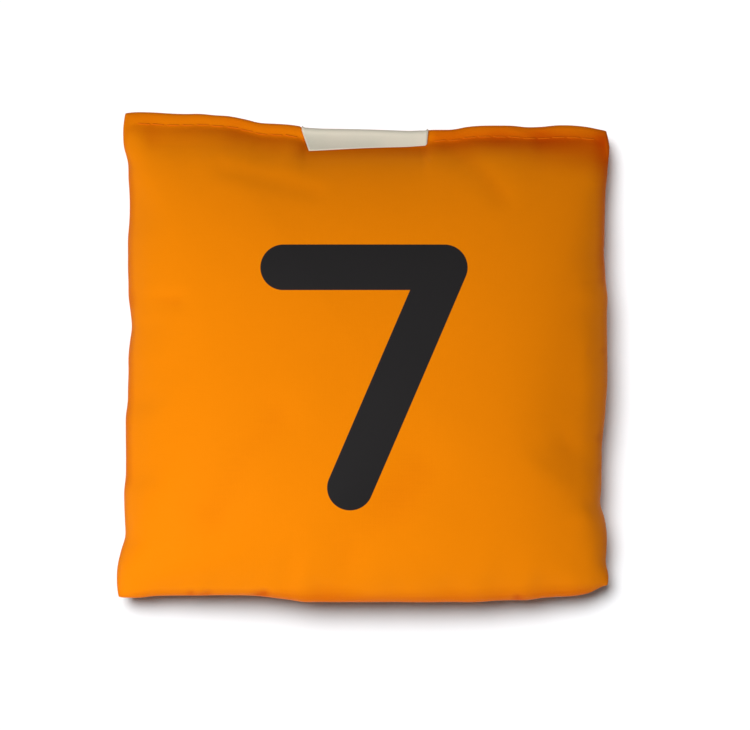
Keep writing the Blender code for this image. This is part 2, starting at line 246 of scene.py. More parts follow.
print("outline", np.round((ROUND.max(0) - ROUND.min(0)) / MM, 1), "mm")

# %% [markdown]
# Padded cloth gets its folds from one fact: the flat square that was cut is a
# little bigger than the shape it is pulled into. So the bag starts in its filled
# shape, while its springs remember the flat pattern, and a few frames of the
# Cloth modifier with some pressure inside let the spare cloth find its folds.
# Cloth behaves best at about a metre, so the bag is simulated ten times too big.

# %% Simulate the filled bag
SIM_CELLS = 72
SIM_SCALE = 10
SIM_FRAMES = 20
SEAM_HOLD = 0.35
PATTERN = 99.5 * MM
GRADE = 0.62 * math.pi / 2
EDGE = reach(FOLD_INSET)
SPRINGS = {"vertex_group_mass": "pins", "pin_stiffness": 1, "quality": 6, "mass": 0.05}
SPRINGS |= {"tension_stiffness": 40, "compression_stiffness": 40, "shear_stiffness": 20}
SPRINGS |= {"bending_stiffness": 0.5, "air_damping": 2}
SPRINGS |= {f"{way}_damping": 10 for way in ("tension", "compression", "shear")}
SPRINGS |= {"use_pressure": True, "uniform_pressure_force": 3}


def graded(share):
    """Lines that lie closer together near the edges, where the folds are small."""
    return EDGE * np.sin(share * GRADE) / math.sin(GRADE)


def ungraded(line):
    return np.arcsin(np.clip(line / EDGE, -1, 1) * math.sin(GRADE)) / GRADE


def grid_quads(index, step=1):
    """The faces between the crossings of a grid, turned over where step is -1."""
    quads = [index[:-1, :-1], index[1:, :-1], index[1:, 1:], index[:-1, 1:]][::step]
    return np.stack([q.ravel() for q in quads], 1).tolist()


def filled_cloth(start, pattern, faces, held):
    """Where the cloth settles. Part of it is held, each point to its own degree."""
    mesh = bpy.data.meshes.new("simulated_bag")
    mesh.from_pydata((start * SIM_SCALE).tolist(), [], faces)
    bag = bpy.data.objects.new("simulated_bag", mesh)
    bpy.context.collection.objects.link(bag)
    bag.shape_key_add(name="filled")
    key = bag.shape_key_add(name="pattern")
    key.data.foreach_set("co", (pattern * SIM_SCALE).astype(np.float32).ravel())
    pins = bag.vertex_groups.new(name="pins")
    for hold, mask in held.items():
        pins.add(np.nonzero(mask)[0].tolist(), hold, "REPLACE")
    cloth = bag.modifiers.new("cloth", "CLOTH")
    for setting, value in SPRINGS.items():
        setattr(cloth.settings, setting, value)
    cloth.settings.rest_shape_key = key
    cloth.settings.effector_weights.gravity = 0
    cloth.collision_settings.use_collision = False
    scene = bpy.context.scene
    for number in range(1, SIM_FRAMES + 1):
        scene.frame_set(number)
    done = bag.evaluated_get(bpy.context.evaluated_depsgraph_get()).data
    settled = np.zeros(len(done.vertices) * 3, np.float32)
    done.vertices.foreach_get("co", settled)
    scene.frame_set(1)
    bpy.data.objects.remove(bag)
    return settled.reshape(-1, 3).astype(float) / SIM_SCALE


def simulate():
    """How far the cloth moved, front and back, at each crossing of the grid."""
    count = SIM_CELLS + 1
    lines = graded(np.linspace(-1, 1, count))
    u, v = (grid.ravel() for grid in np.meshgrid(lines, lines, indexing="ij"))
    flat = place(u, v)
    seam = seam_height(u, v)
    edge = np.ones((count, count), bool)
    edge[1:-1, 1:-1] = False
    inner = ~edge.ravel()

    def both(values):
        """Values of the front, and then of the back's points inside its edge."""
        return np.concatenate([values, values[inner]])

    front = np.column_stack([flat, seam + (THICKNESS - CLOTH / 2 - seam) * front_rise(u, v)])
    back = np.column_stack([flat, seam + (CLOTH / 2 - seam) * back_rise(u, v)])
    start = np.vstack([front, back[inner]])
    front_index = np.arange(count * count).reshape(count, count)
    back_index = front_index.copy()
    back_index[~edge] = count * count + np.arange(inner.sum())
    moved = np.zeros_like(start)
    pattern = np.column_stack([u, v, 0 * u]) * PATTERN / 2 / EDGE
    faces = grid_quads(front_index) + grid_quads(back_index, -1)
    flange = v > reach(FLANGE)
    held = {1.0: both(flange), SEAM_HOLD: both(edge.ravel() & ~flange)}
    moved = filled_cloth(start, both(pattern), faces, held) - start
    front_moved = moved[: count * count].reshape(count, count, 3)
    back_moved = front_moved.copy()
    back_moved[~edge] = moved[count * count :]
    return front_moved, back_moved


front_moved, back_moved = simulate()
print("cloth moved at most", round(np.linalg.norm(front_moved, axis=2).max() / MM, 2), "mm")

# %% [markdown]
# Raw folds have a grain as fine as the grid, which satin doesn't. A little
# smoothing takes it out. The seam was measured where it lies, so the slow part of
# its movement is taken back as well, and only its puckers are kept.


# %% Soften the folds and put the seam back
FINE_PASSES, BROAD_PASSES, DRIFT_PASSES = 2, 40, 60
DRIFT_POWER = 8
FOLD_SHARE = 0.6


def softened(rows, times):
    """Each row averaged with its neighbours, both ends held."""
    rows = rows.copy()
    for _ in range(times):
        rows[1:-1] = (rows[:-2] + 2 * rows[1:-1] + rows[2:]) / 4
    return rows


def softened_grid(grid, times):
    for _ in range(times):
        grid = softened(grid, 1)
        grid = softened(grid.swapaxes(0, 1), 1).swapaxes(0, 1)
    return grid


def edge_drift(grid, times):
    """The slow movement of the four edges, fading quickly towards the middle."""
    share = graded(np.linspace(-1, 1, SIM_CELLS + 1)) / EDGE
    low, high = (np.maximum(0, side) ** DRIFT_POWER for side in (-share, share))
    left, right = softened(grid[0], times), softened(grid[-1], times)
    bottom, top = softened(grid[:, 0], times), softened(grid[:, -1], times)
    drift = low[:, None, None] * left[None] + high[:, None, None] * right[None]
    drift = drift + low[None, :, None] * bottom[:, None] + high[None, :, None] * top[:, None]
    for across, i in ((low, 0), (high, -1)):
        for up, j in ((low, 0), (high, -1)):
            drift = drift - across[:, None, None] * up[None, :, None] * grid[i, j]
    return drift


def calmed(grid):
    """The same swell, with its sharper folds made shallower."""
    broad = softened_grid(grid, BROAD_PASSES)
    return broad + (softened_grid(grid, FINE_PASSES) - broad) * FOLD_SHARE


front_moved, back_moved = calmed(front_moved), calmed(back_moved)
drift = edge_drift(front_moved, DRIFT_PASSES)
front_moved, back_moved = front_moved - drift, back_moved - drift
print("seam drift taken back", round(np.linalg.norm(drift, axis=2).max() / MM, 2), "mm")

# %% [markdown]
# The simulation gives the folds on a coarse grid. A finer mesh reads them with a
# cubic curve through the nearest crossings, so no facet shows.


# %% Read the movement at any address
def sample(grid, u, v):
    places = [(ungraded(line) + 1) / 2 * SIM_CELLS for line in (u, v)]
    lefts = [np.minimum(at.astype(int), SIM_CELLS - 1) for at in places]
    weights = [cubic_weights(at - left) for at, left in zip(places, lefts)]
    total = np.zeros((len(u), 3))
    for i in range(4):
        row = np.clip(lefts[0] + i - 1, 0, SIM_CELLS)
        for j in range(4):
            column = np.clip(lefts[1] + j - 1, 0, SIM_CELLS)
            total += (weights[0][i] * weights[1][j])[:, None] * grid[row, column]
    return total


origin = np.zeros(1)
print("moved in the middle", np.round(sample(front_moved, origin, origin)[0] / MM, 2), "mm")

# %% [markdown]
# A used bag also has creases of its own: soft ones where it was held, a long one at
# the foot of the flange, and short ones where the seam puckers. Each is a groove
# along a line, in millimetres, with the cloth a little raised on both sides, as a
# fold pushes it. A depth below 0 is a ridge. Each line also paints shade into the
# colour, making it deeper along the line, as if cloth lit cloth in a crease or at
# the edges, and some lines are painted shade only.

# %% Creases of this bag
CREASES = [
    # depth, half width and painted shade, then the points of the line
    # where the bag was held
    (0.3, 1.5, 0, (-27.9, 37.7), (-9.8, 32.7)),
    (0.3, 1.8, 0.05, (20.5, 39.5), (24, 36.5), (27.5, 31.7)),
    (0.45, 1.5, 0.05, (-48.5, 11.8), (-37, 11)),
    (0.6, 4, 0.04, (-17.5, -12.8), (-24, -19.4), (-30, -30)),
    (0.5, 4.5, 0.06, (10, -22), (-4, -38), (-7, -46)),
    # the foot of the flange, and painted shade on the flange and just below it
    (0.35, 1.9, 0.16, (-42, 43), (-33, 43), (-24, 42.2), (-17.5, 41.6)),
    (0.5, 1.6, 0.26, (-12.5, 41.2), (-2, 41.2), (12, 41.4)),
    (0.45, 2, 0.28, (16.5, 41.8), (24, 42.4), (30, 42.4)),
    (0.65, 2.6, 0.42, (36, 42.8), (41, 42), (47, 41)),
    (0, 1.2, 0.38, (15, 44.3), (30, 44.6), (48, 44.2)),
    (0, 4, 0.15, (34, 39.5), (46, 38)),
    (0, 2.6, 0.12, (-45, 47.8), (-26, 46.8), (-14, 45.2)),
    # painted shade along the left, bottom and right rims, ridges inside the right one, and a
    # soft hollow
    (0, 1.2, 0.22, (-47.4, 38), (-47, 10), (-47.4, -25)),
    (0, 2, 0.16, (-44, -48.6), (-24, -49)),
    (0, 1.4, 0.34, (48.4, 44), (48.2, 33), (48, 18)),
    (0, 1.8, 0.34, (-20, -48), (10, -48.4), (44, -47.4)),
    (-0.45, 2.4, 0, (45.4, 14), (45.2, -18), (45.6, -31)),
    (-0.4, 3, 0, (42.2, -14.5), (46, -21.5), (46.8, -31)),
    (0.25, 5, 0.04, (9, -31), (18, -30)),
    # puckers of the top, right and bottom seams
    (0.16, 1.6, 0.1, (-43, 46.5), (-43, 44.5)),
    (0.16, 1.8, 0.1, (-26, 46.5), (-26, 44.5)),
    (0.16, 1.8, 0.1, (27.5, 46.5), (27.5, 44.5)),
    (0.22, 0.9, 0.2, (49.5, 15.5), (44.5, 14.8)),
    (0.2, 0.9, 0.2, (49.5, -16.7), (45.5, -16)),
    (0.25, 0.7, 0.1, (49.5, 1.4), (45.5, 1)),
    (0.15, 0.7, 0.1, (49.5, -22.8), (46.5, -22.4)),
    (0.8, 0.6, 0.26, (-34.9, -48.2), (-34.7, -47.6)),
    (0.7, 0.6, 0.22, (-32.6, -48), (-31.2, -47.6)),
    (0.8, 0.6, 0.24, (-21.4, -48), (-19.8, -47.4)),
    (0.8, 0.5, 0.26, (32, -49), (30.8, -48.4)),
]
SHOULDER_SHARE, SHOULDER_SPREAD = 0.35, 2


def line_distance(x, y, line):
    """The square of the distance to the nearest stretch of a line of points."""
    nearest = np.full(len(x), np.inf)
    for (x0, y0), (x1, y1) in zip(line, line[1:]):
        dx, dy = x1 - x0, y1 - y0
        along = np.clip(((x - x0) * dx + (y - y0) * dy) / (dx * dx + dy * dy), 0, 1)
        nearest = np.minimum(nearest, (x - x0 - along * dx) ** 2 + (y - y0 - along * dy) ** 2)
    return nearest


def crease_fields(points):
    """Depth in metres, and painted shade, at each point."""
    x, y = points[:, 0] / MM, points[:, 1] / MM
    depths, painted_shades = np.zeros(len(points)), np.zeros(len(points))
    for depth, width, painted_shade, *line in CREASES:
        apart = line_distance(x, y, line) / width**2
        groove = np.exp(-apart / 2)
        shoulder = SHOULDER_SHARE * np.exp(-apart / 2 / SHOULDER_SPREAD**2)
        depths += depth * MM * (groove - shoulder)
        # painted shade: each line makes the colour deeper along it
        painted_shades += painted_shade * groove
    return depths, painted_shades


print(len(CREASES), "creases")

# %% [markdown]
# Topstitching pulls the flange in, so it has a shallow channel with a dimple at
# every needle hole. The dimples and the thread share one count of stitches.

# %% Channel of the topstitching
STITCH = 3.0 * MM
TOPSTITCH_INSET = 2.5 * MM
TOPSTITCH_END = reach(2.9 * MM)
TOPSTITCHES = round(2 * TOPSTITCH_END * HALF / STITCH)
CHANNEL_DEPTH, CHANNEL_WIDTH = 0.11 * MM, 0.60 * MM
CHANNEL_FADE, DIMPLE_SHARE = 0.02, 0.35


def channel_depth(u, v):
    inset = (1 - v) * HALF
    across = np.exp(-(((inset - TOPSTITCH_INSET) / CHANNEL_WIDTH) ** 2))
    turn = (u / TOPSTITCH_END + 1) / 2 * TOPSTITCHES * 2 * math.pi
    ends = np.clip((TOPSTITCH_END + CHANNEL_FADE - abs(u)) / CHANNEL_FADE, 0, 1)
    return CHANNEL_DEPTH * across * ends * (1 - DIMPLE_SHARE + DIMPLE_SHARE * np.cos(turn))


print(TOPSTITCHES, "topstitches")

# %% [markdown]
# The two panels put all of this together. The filling holds the front up, and the
# table presses the back flat.

# %% Surfaces of the two panels
FRONT_SHARE, BACK_SHARE = 0.915, 0.87
EASE_POWER = 6
PRESS_SOFTNESS = 0.25 * MM
WALL_FADE, WALL_BLEND, EDGE_FADE = 4.0 * MM, 0.6 * MM, 0.6 * MM


def filled_shape(u, v, base, limit, risen, moved, share):
    """The filled cloth with its folds, drawn towards its base, which moves with the seam."""
    height = base + (limit - base) * risen
    points = np.column_stack([face_place(u, v), height]) + sample(moved, u, v)
    out = np.maximum(outness(u, v), TINY)
    seam_moved = sample(front_moved, u * EDGE / out, v * EDGE / out)[:, 2]
    seam_moved *= (out / EDGE) ** EASE_POWER
    points[:, 2] = base + seam_moved + (points[:, 2] - base - seam_moved) * share
    return points


def fold_start(v):
    """Where on the edge's fold the face begins: flat at the flange, elsewhere a wall."""
    return smoothstep((reach(FLANGE) - v) * HALF / WALL_FADE) * math.pi / 2


def near_edge(u, v):
    """1 at the edge of the face, fading quickly inwards."""
    return np.exp((outness(u, v) - EDGE) * HALF / WALL_BLEND)


def face_place(u, v):
    push = FOLD_RADIUS * np.sin(fold_start(v)) * near_edge(u, v)
    scale = 1 + push / HALF / np.maximum(outness(u, v), TINY)
    return place(u * scale, v * scale)


def face_lift(u, v):
    return FACE_LIFT - FOLD_RADIUS * (1 - np.cos(fold_start(v))) * near_edge(u, v)


def front_surface(u, v):
    base, risen = seam_height(u, v) + face_lift(u, v), front_rise(u, v)
    points = filled_shape(u, v, base, THICKNESS - CLOTH / 2, risen, front_moved, FRONT_SHARE)
    points[:, 2] -= (crease_fields(points)[0] + channel_depth(u, v)) * edge_fade(u, v)
    return points


def back_surface(u, v):
    base, risen = seam_height(u, v) - face_lift(u, v), back_rise(u, v)
    points = filled_shape(u, v, base, CLOTH / 2, risen, back_moved, BACK_SHARE)
    points[:, 2] += channel_depth(u, v) * edge_fade(u, v)
    points[:, 2] = press_flat(points[:, 2], CLOTH / 2)
    return points


def edge_fade(u, v):
    """1 on the face, fading to 0 at the folded edge."""
    return np.clip((EDGE - outness(u, v)) * HALF / EDGE_FADE, 0, 1)


def press_flat(height, floor):
    """Height that never goes below the floor, with a soft turn where it lands."""
    return floor + PRESS_SOFTNESS * np.logaddexp(0, (height - floor) / PRESS_SOFTNESS)


def seam_surface(u, v, lift):
    """The plane of the seam, lifted, which moves with the edge of the cloth."""
    scale = EDGE / np.maximum(outness(u, v), TINY)
    moved = sample(front_moved, u * scale, v * scale)
    return np.column_stack([place(u, v), seam_height(u, v) + lift]) + moved


for surface in (back_surface, front_surface):
    print(surface.__name__, "middle at", round(surface(origin, origin)[0, 2] / MM, 1), "mm")

# %% [markdown]
# Each panel is one mesh: its face, the fold at the edge, and the allowance that
# is turned to the inside. The face is a grid, and every further row is a ring
# round it. Each point keeps its address on the flat cloth as its UV, so that the
# weave follows the folds. Solidify then gives the cloth its thickness.

# %% Rows of a panel
FACE_CELLS = 144
# insets from the outline and depths from the face's edge, in millimetres
FLANGE_INSETS = (6.6, 5.9, 5.2, 4.6, 4.1, 3.7, 3.4, 3.15, 2.9, 2.7, 2.5, 2.3, 2.1)
FLANGE_INSETS += (1.8, 1.5, 1.2, 0.9)
FLANGE_MARGIN = 0.5 * MM
WALL_DEPTHS = (0.08, 0.2)
FOLD_STEPS = 6
ALLOWANCE_INSETS = (1.4, 3.0, 4.6, 6.0)
CUT = 113.6 * MM


def face_lines():
    """The lines of the face's grid, across and up, close together on the flange."""
    across = graded(np.linspace(-1, 1, FACE_CELLS + 1))
    wall = np.array([EDGE - depth * MM / HALF for depth in WALL_DEPTHS])
    across = np.sort(np.concatenate([-wall, across, wall]))
    flange = [reach(inset * MM) for inset in FLANGE_INSETS]
    up = [line for line in across if line < flange[0] - FLANGE_MARGIN / HALF]
    return across, np.array([*up, *flange, EDGE])


def turned_rows(start):
    """Inset, lift and length of cloth so far, for each row of the fold and allowance."""
    rows = []
    for step in range(1, FOLD_STEPS + 1):
        turn = start + (math.pi - start) * step / FOLD_STEPS
        inset = FOLD_INSET - FOLD_RADIUS * np.sin(turn)
        lift = ALLOWANCE_LIFT + FOLD_RADIUS * (1 + np.cos(turn))
        rows.append((inset, lift, FOLD_RADIUS * (turn - start)))
    for inset in ALLOWANCE_INSETS:
        travelled = FOLD_RADIUS * (math.pi - start) + inset * MM - FOLD_INSET
        rows.append((inset * MM, ALLOWANCE_LIFT, travelled))
    return rows


print(len(turned_rows(0)), "rows past the face")


# %% Mesh helpers
def add_mesh(name, points, faces=(), edges=(), addresses=None):
    mesh = bpy.data.meshes.new(name)
    mesh.from_pydata(points.tolist(), edges, faces)
    if addresses is not None:
        loops = np.zeros(len(mesh.loops), int)
        mesh.loops.foreach_get("vertex_index", loops)
        uv = mesh.uv_layers.new(name="cloth")
        uv.data.foreach_set("uv", addresses[loops].astype(np.float32).ravel())
    mesh.shade_smooth()
    item = bpy.data.objects.new(name, mesh)
    bpy.context.collection.objects.link(item)
    return item


def baked(item):
    """The object with its modifiers applied, as a plain mesh."""
    deps = bpy.context.evaluated_depsgraph_get()
    mesh = bpy.data.meshes.new_from_object(item.evaluated_get(deps))
    mesh.name = item.name
    item.modifiers.clear()
    item.data = mesh
    return item


def thicken(item, thickness):
    shell = item.modifiers.new("thickness", "SOLIDIFY")
    shell.thickness = thickness
    shell.offset = 0
    return baked(item)


# %% Build the panels
# painted shade: how much deeper the colour is at the folded edges, and for each millimetre of
# dip
RIM_PAINTED_SHADE, RIM_WIDTH = 0.24, 1.0 * MM
DIP_PAINTED_SHADE = 0.5


def add_painted_shade(item, points, u, v, below):
    """Store each point's painted shade for the material: deeper colour along the creases, in
    dips below the broad surface, and at the folded edges.
    """
    values = crease_fields(points)[1] if item.name == "front_cover" else np.zeros(len(points))
    # painted shade over the whole fold and allowance
    values[u.size :] += RIM_PAINTED_SHADE
    rim_shade = RIM_PAINTED_SHADE * np.exp((outness(u, v) - EDGE) * HALF / RIM_WIDTH)
    values[: u.size] += (DIP_PAINTED_SHADE * below / MM + rim_shade).ravel()
    print(item.name, "deepest hollow", round(float(below.max() / MM), 2), "mm")
    values = values.astype(np.float32)
    # the attribute hollow carries the painted shade to the material
    item.data.attributes.new("hollow", "FLOAT", "POINT").data.foreach_set("value", values)


def build_panel(name, surface, side_up):
    across, up = face_lines()
    grid_u, grid_v = np.meshgrid(across, up, indexing="ij")
    index = np.arange(grid_u.size).reshape(grid_u.shape)
    points = [surface(grid_u.ravel(), grid_v.ravel())]
    addresses = [np.column_stack([grid_u.ravel(), grid_v.ravel()]) * HALF]
    faces = grid_quads(index, side_up)
    loop = np.concatenate([index[:-1, 0], index[-1, :-1], index[:0:-1, -1], index[0, :0:-1]])
    edge_u, edge_v = grid_u.ravel()[loop], grid_v.ravel()[loop]
    before = loop
    for inset, lift, travelled in turned_rows(fold_start(edge_v)):
        scale = reach(inset) / EDGE
        here = sum(len(p) for p in points) + np.arange(len(loop))
        points.append(seam_surface(edge_u * scale, edge_v * scale, side_up * lift))
        on_cloth = (HALF + travelled / EDGE)[:, None]
        addresses.append(np.column_stack([edge_u, edge_v]) * on_cloth)
        quads = [before, here, np.roll(here, -1), np.roll(before, -1)][::side_up]
        faces += np.stack(quads, 1).tolist()
        before = here
    height = points[0][:, 2].reshape(grid_u.shape)
    points = np.vstack(points)
    item = add_mesh(name, points, faces, addresses=np.vstack(addresses) / CUT + 0.5)
    # how far the cloth dips below its broad surface, which is painted in as shade
    below = (softened_grid(height, BROAD_PASSES) - height) * side_up
    add_painted_shade(item, points, grid_u, grid_v, below)
    return thicken(item, CLOTH)


front = build_panel("front_cover", front_surface, 1)
back = build_panel("back_cover", back_surface, -1)
for panel in (front, back):
    print(panel.name, len(panel.data.polygons), "faces")

# %% [markdown]
# The label is one piece of satin tape, sewn in a little askew. Its caught end lies
# between the allowances, its neck turns up round the edge of the bag, and its
# loose tab lies on the flange, over the stitches.

# %% Path of the tape
LABEL_LEFT, LABEL_RIGHT = -12.4 * MM, 13.0 * MM
LABEL_WIDTH, LABEL_LENGTH = LABEL_RIGHT - LABEL_LEFT, 10.5 * MM
LABEL_THICK = 0.2 * MM
LABEL_COLUMNS = 48
CAUGHT = 4.8 * MM
DROP_LEFT, DROP_RIGHT = 5.3 * MM, 3.3 * MM
NECK_OUT, NECK_RISE, NECK_TOP = 0.3 * MM, 0.5 * MM, 1.25 * MM
TAB_LIFT, TIP_LIFT = 0.50 * MM, 0.46 * MM
TAB_ROWS, TAB_CURVE = 16, 1.6
SLANT, SLANT_POWER = 1.5 * MM, 4
QUARTER = np.linspace(0, math.pi / 2, 9)[1:]
NECK_LIFTS = np.linspace(0.65 * MM, NECK_TOP, 4)


def tape_edge_path():
    """Insets and lifts over the seam, from the caught end to the top of the edge."""
    inset = [CAUGHT, 4 * MM, 3 * MM, 2 * MM, 1 * MM, 0.4 * MM, 0]
    lift = [0] * len(inset)
    inset += [-NECK_OUT * math.sin(t) for t in QUARTER]
    lift += [NECK_RISE * (1 - math.cos(t)) for t in QUARTER]
    inset += [-NECK_OUT] * len(NECK_LIFTS)
    lift += [*NECK_LIFTS]
    top = FACE_LIFT + TAB_LIFT
    inset += [FOLD_INSET - (FOLD_INSET + NECK_OUT) * math.cos(t) for t in QUARTER]
    lift += [NECK_TOP + (top - NECK_TOP) * math.sin(t) for t in QUARTER]
    return inset, lift


def top_address(x):
    """The u whose place on the top side has this x."""
    tries = np.linspace(-1, 1, 401)
    near_top = np.full_like(tries, 0.99)
    return np.interp(x, place(tries, near_top)[:, 0], tries)


def off_front(u, v, lift):
    """A point off the front, square to its surface."""
    u, v, small = np.full(1, u), np.full(1, v), 0.002
    here = front_surface(u, v)
    across = front_surface(u + small, v) - front_surface(u - small, v)
    up = here - front_surface(u, v - small)
    square = np.cross(across, up)
    return (here + square / np.linalg.norm(square, axis=1) * lift)[0]


print("tape reaches", CAUGHT / MM, "mm into the seam and", DROP_LEFT / MM, "mm down the front")


# %% Build the label
def build_label():
    rows = []
    shares = np.linspace(0, 1, LABEL_COLUMNS + 1)
    insets, lifts = (np.array(values) for values in tape_edge_path())
    part = np.linspace(0, 1, TAB_ROWS + 1)[1:]
    for share in shares:
        x = LABEL_LEFT + LABEL_WIDTH * share
        over_edge = seam_surface(np.full(len(insets), top_address(x)), reach(insets), lifts)
        drop = DROP_LEFT + (DROP_RIGHT - DROP_LEFT) * share
        slant = SLANT * (1 - share) ** SLANT_POWER
        tip = off_front(top_address(x + slant), reach(drop), TIP_LIFT)
        start = over_edge[-1]
        tab = start + (tip - start) * np.column_stack([part, part, part**TAB_CURVE])
        rows.append(np.vstack([over_edge, tab]))
    points = np.array(rows)
    wide, long = points.shape[:2]
    steps = np.linalg.norm(np.diff(points, axis=1), axis=2)
    along = np.concatenate([np.zeros((wide, 1)), np.cumsum(steps, axis=1)], axis=1)
    across = np.repeat(shares[:, None] * LABEL_WIDTH, long, axis=1)
    addresses = np.column_stack([across.ravel(), along.ravel()]) / LABEL_WIDTH
    print("label's length", round(along[:, -1].mean() / MM, 1), "mm")
    faces = grid_quads(np.arange(wide * long).reshape(wide, long))
    return add_mesh("label", points.reshape(-1, 3), faces, addresses=addresses)


label = thicken(build_label(), LABEL_THICK)

# %% [markdown]
# Nodes can be written as plain sums. A Wire holds one output, and adding or
# multiplying wires adds the Math nodes. Every other kind of node comes from one
# method, which takes the node's type, its settings and what goes in its sockets.


# %% Nodes as expressions
class Wire:
    """An output of a node. Reckoning with it adds Math nodes to its tree."""

    def __init__(self, tree, socket):
        self.tree = tree
        self.socket = socket

    def math(self, operation, *others, clamp=False):
        sockets = dict(enumerate((self, *others)))
        return self.tree.node("ShaderNodeMath", sockets, operation=operation, use_clamp=clamp)

    __add__ = __radd__ = partialmethod(math, "ADD")
    __sub__ = partialmethod(math, "SUBTRACT")
    __rsub__ = partialmethod(math, "MULTIPLY_ADD", -1.0)
    __mul__ = __rmul__ = partialmethod(math, "MULTIPLY")
    __truediv__ = partialmethod(math, "DIVIDE")
    __pow__ = partialmethod(math, "POWER")
    least = partialmethod(math, "MINIMUM")
    clamped = partialmethod(math, "ADD", 0.0, clamp=True)


class Tree:
    """A node tree that one method fills."""

    def __init__(self, nodes):
        self.nodes = nodes

    def pick(self, sockets, key):
        if isinstance(key, int):
            return sockets[key]
        return next(s for s in sockets if s.enabled and key in (s.name, s.identifier))

    def node(self, kind, sockets=None, output=0, **settings):
        """Add a node. Its settings come first, then what goes in its sockets."""
        node = self.nodes.nodes.new(kind)
        for name, value in settings.items():
            setattr(node, name, value)
        for key, value in (sockets or {}).items():
            socket = self.pick(node.inputs, key)
            for one in value if isinstance(value, list) else [value]:
                if isinstance(one, Wire):
                    self.nodes.links.new(one.socket, socket)
                else:
                    socket.default_value = one
        if node.outputs:
            return Wire(self, self.pick(node.outputs, output))

    def parts(self, vector):
        """The x, y and z of a vector."""
        return [self.node("ShaderNodeSeparateXYZ", {"Vector": vector}, i) for i in range(3)]


print("sums", [name for name, value in vars(Wire).items() if type(value) is partialmethod])

# %% [markdown]
# A lockstitch shows as a row of short threads, each diving into the cloth at both
# ends. They repeat along a path, which is what Geometry Nodes are for: one stitch
# is twisted from three plies, bent down at its ends, and set along the path.

# %% The tree of a row of stitches
THREAD_RADIUS = 0.12 * MM
PLIES, TWISTS, TWIST_STEPS, PLY_SIDES = 3, 3.0, 8, 4
PLY_OFFSET, PLY_RADIUS = 0.5, 0.56  # shares of the thread's radius
DIVE_POWER = 6.0
ASKEW = Vector((0.06, 0.0, 0.05))


def new_tree(name, inputs):
    """An empty tree with named inputs, and a dictionary of their wires."""
    group = bpy.data.node_groups.new(name, "GeometryNodeTree")
    for title, kind in inputs.items():
        group.interface.new_socket(title, in_out="INPUT", socket_type=f"NodeSocket{kind}")
    group.interface.new_socket("Geometry", in_out="OUTPUT", socket_type="NodeSocketGeometry")
    tree = Tree(group)
    source = group.nodes.new("NodeGroupInput")
    return tree, {title: Wire(tree, source.outputs[title]) for title in inputs}


def finish_tree(tree, geometry, material):
    """The last nodes of a tree: real geometry instead of instances, and its material."""
    real = tree.node("GeometryNodeRealizeInstances", {"Geometry": geometry})
    done = tree.node("GeometryNodeSetMaterial", {"Geometry": real, "Material": material})
    tree.node("NodeGroupOutput", {"Geometry": done})
    return tree.nodes


def stitch_tree():
    kinds = {"Path": "Geometry", "Stitches": "Int", "Stitch length": "Float"}
    kinds |= {"Thread radius": "Float", "Depth": "Float", "Seed": "Int", "Material": "Material"}
    tree, given = new_tree("row_of_stitches", kinds)
    length, radius = given["Stitch length"], given["Thread radius"]
    spiral = {"Resolution": TWIST_STEPS, "Rotations": TWISTS, "Height": length}
    spiral |= {f"{end} Radius": radius * PLY_OFFSET for end in ("Start", "End")}
    circle = {"Resolution": PLY_SIDES, "Radius": radius * PLY_RADIUS}
    strand = {
        "Curve": tree.node("GeometryNodeCurveSpiral", spiral),
        "Profile Curve": tree.node("GeometryNodeCurvePrimitiveCircle", circle),
        "Fill Caps": True,
    }
    ply = tree.node("GeometryNodeCurveToMesh", strand)
    plies = []
    for number in range(PLIES):
        turned = {"Geometry": ply, "Rotation": (0, 0, number * math.tau / PLIES)}
        plies.append(tree.node("GeometryNodeTransform", turned))
    thread = tree.node("GeometryNodeJoinGeometry", {"Geometry": plies})
    x, y, z = tree.parts(tree.node("GeometryNodeInputPosition"))
    along = z - length * 0.5
    bend = (along * 2.0 / length).math("ABSOLUTE") ** DIVE_POWER * given["Depth"]
    bent = tree.node("ShaderNodeCombineXYZ", {"X": along, "Y": y, "Z": x * -1.0 - bend})
    stitch = tree.node("GeometryNodeSetPosition", {"Geometry": thread, "Position": bent})
    line = tree.node("GeometryNodeMeshToCurve", {"Mesh": given["Path"]})
    spaces = {"Curve": line, "Count": given["Stitches"]}
    spaced = tree.node("GeometryNodeResampleCurve", spaces)
    tangent = tree.node("GeometryNodeInputTangent")
    turn = tree.node("FunctionNodeAlignRotationToVector", {"Vector": tangent}, axis="X")
    tilt = {"Min": -ASKEW, "Max": ASKEW, "Seed": given["Seed"]}
    askew = tree.node("FunctionNodeRandomValue", tilt, data_type="FLOAT_VECTOR")
    sockets = {"Points": spaced, "Instance": stitch, "Rotation": turn}
    placed = tree.node("GeometryNodeInstanceOnPoints", sockets)
    sockets = {"Instances": placed, "Rotation": askew}
    settled = tree.node("GeometryNodeRotateInstances", sockets)
    return finish_tree(tree, settled, given["Material"])


stitch_nodes = stitch_tree()
print(len(stitch_nodes.nodes), "nodes in the row of stitches")


# %% Rows of stitches along each seam
DIVE, TILT_SEED = 0.42 * MM, 4
TURNED_INSET, TURNED_START = 1.4 * MM, 6.5 * MM
TURNED_STITCHES, PATH_POINTS = 95, 96
CLOSING_PROUD, TURNED_PROUD = 0.2 * THREAD_RADIUS, 0.6 * THREAD_RADIUS


def grow(item, nodes, values):
    """Run a tree on an object and keep the result as its mesh."""
    modifier = item.modifiers.new("nodes", "NODES")
    modifier.node_group = nodes
    for socket in nodes.interface.items_tree:
        if socket.in_out == "INPUT" and socket.name in values:
            modifier[socket.identifier] = values[socket.name]
    return baked(item)


def row_length(points):
    return np.linalg.norm(np.diff(points, axis=0), axis=1).sum()


